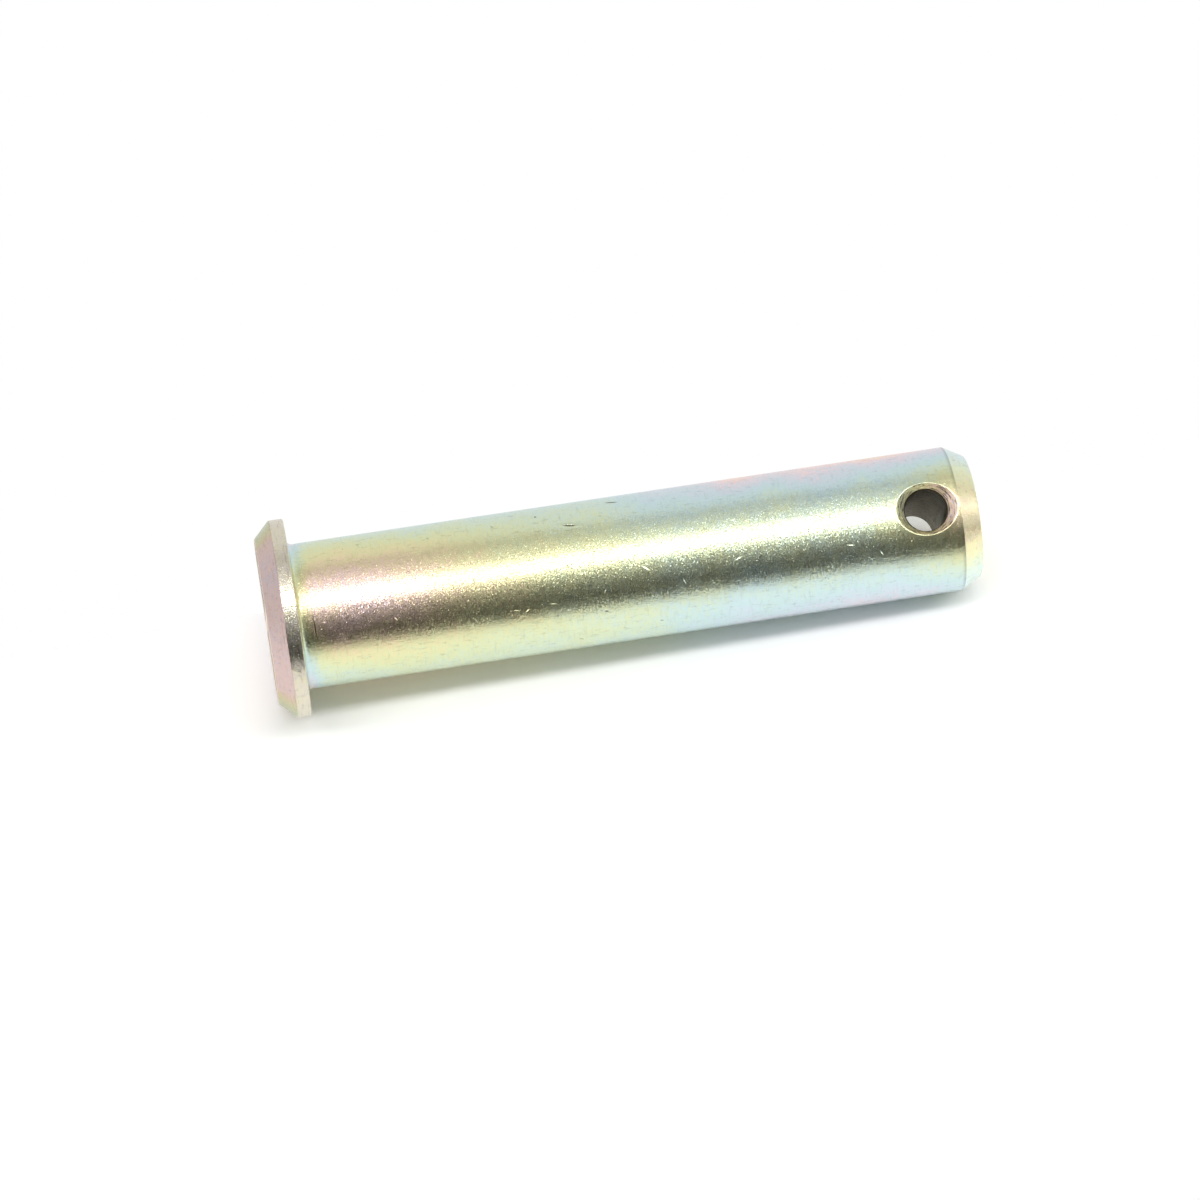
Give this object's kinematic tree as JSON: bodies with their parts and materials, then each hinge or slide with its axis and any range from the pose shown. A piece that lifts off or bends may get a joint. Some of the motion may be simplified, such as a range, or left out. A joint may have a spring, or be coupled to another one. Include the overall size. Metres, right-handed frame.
{
  "type": "clevis pin",
  "caption": "Round steel clevis pin with a flat chamfered head, a plain shank with a chamfered end, and a countersunk cross hole near the free end for a split pin.",
  "frame": {"origin": "centre of the head's outer face, which the pin stands on", "axes": "+Z along the pin's axis from the head to the free end, Y along the cross hole's axis, X across it"},
  "size_m": [0.03, 0.03, 0.1082],
  "materials": {
    "zinc_plated_steel": "satin turned steel under iridescent zinc plating"
  },
  "bodies": {
    "root": {"clevis_pin": "zinc_plated_steel"}
  },
  "joints": []
}
